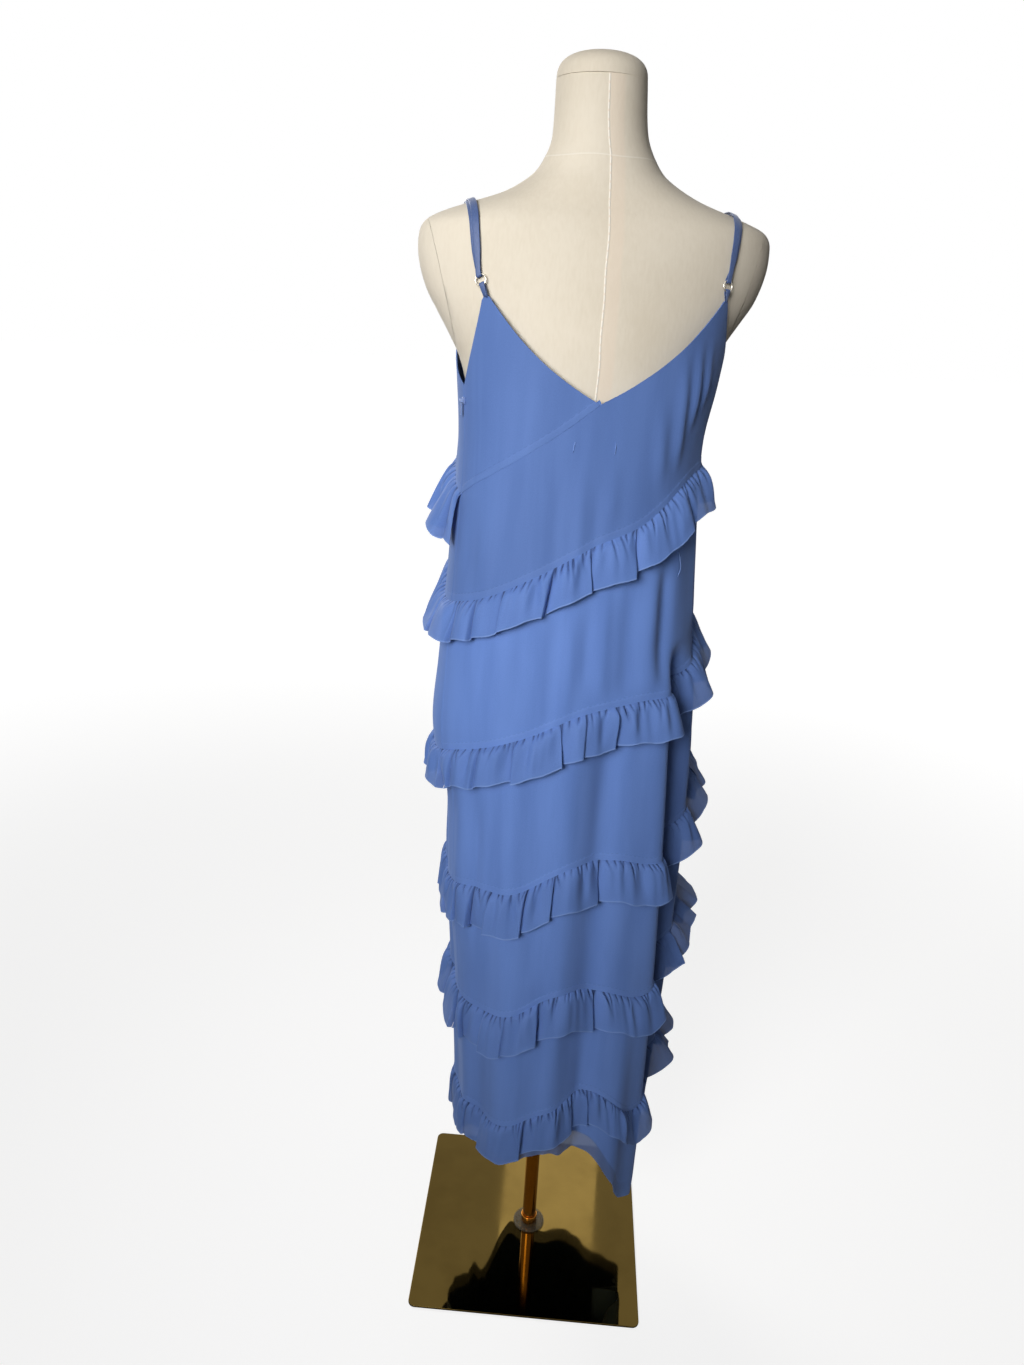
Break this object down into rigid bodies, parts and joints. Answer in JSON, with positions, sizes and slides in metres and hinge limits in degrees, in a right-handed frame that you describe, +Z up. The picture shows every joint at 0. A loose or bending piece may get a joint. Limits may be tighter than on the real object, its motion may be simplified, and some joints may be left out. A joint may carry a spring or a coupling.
{
  "type": "slip dress on dress form",
  "caption": "Long V-neck slip dress with tilted gathered frills, adjustable straps and a side zip, worn by a limbless dress form on a pole stand.",
  "frame": {"origin": "centre of the base plate's underside, on the floor", "axes": "+Z up the pole, -Y towards the dress's front, +X towards the wearer's left"},
  "size_m": [0.4061, 0.3826, 1.621],
  "materials": {
    "chiffon": "matte",
    "chiffon_frill": "matte",
    "strap_satin": "satin",
    "pull_tab": "satin",
    "zip_tape": "matte",
    "small_metal": "polished",
    "form_jersey": "matte",
    "gold_tube": "polished",
    "gold_mirror": "polished",
    "washer_plastic": "gloss"
  },
  "bodies": {
    "dress_and_stand": {"back_yoke": "chiffon", "back_bodice": "chiffon", "front_yoke": "chiffon", "front_bodice": "chiffon", "back_tier_1": "chiffon", "back_tier_2": "chiffon", "back_tier_3": "chiffon", "back_tier_4": "chiffon", "back_tier_5": "chiffon", "front_tier_1": "chiffon", "front_tier_2": "chiffon", "front_tier_3": "chiffon", "front_tier_4": "chiffon", "front_tier_5": "chiffon", "frill_yoke": "chiffon_frill", "frill_back_1": "chiffon_frill", "frill_back_2": "chiffon_frill", "frill_back_3": "chiffon_frill", "frill_back_4": "chiffon_frill", "frill_back_5": "chiffon_frill", "frill_front_1": "chiffon_frill", "frill_front_2": "chiffon_frill", "frill_front_3": "chiffon_frill", "frill_front_4": "chiffon_frill", "frill_front_5": "chiffon_frill", "strap_left": "strap_satin", "strap_right": "strap_satin", "tab_left": "strap_satin", "tab_right": "strap_satin", "ring_left": "small_metal", "ring_right": "small_metal", "slider_left": "small_metal", "slider_right": "small_metal", "zip_slider": "pull_tab", "side_zip": "zip_tape", "form_torso": "form_jersey", "form_arm_cap_left": "form_jersey", "form_arm_cap_right": "form_jersey", "form_neck_cap": "form_jersey", "stand_pole": "gold_tube", "stand_sleeve": "gold_tube", "stand_washer": "washer_plastic", "stand_base": "gold_mirror"},
    "zip_pull": {"zip_pull": "pull_tab"}
  },
  "joints": [
    {"name": "pull_swing", "type": "hinge", "parent": "dress_and_stand", "child": "zip_pull", "pos_m": [0.1466, 0.03655, 1.26273], "axis": [0.2419, -0.9703, 0], "range_deg": [-12, 150]}
  ]
}
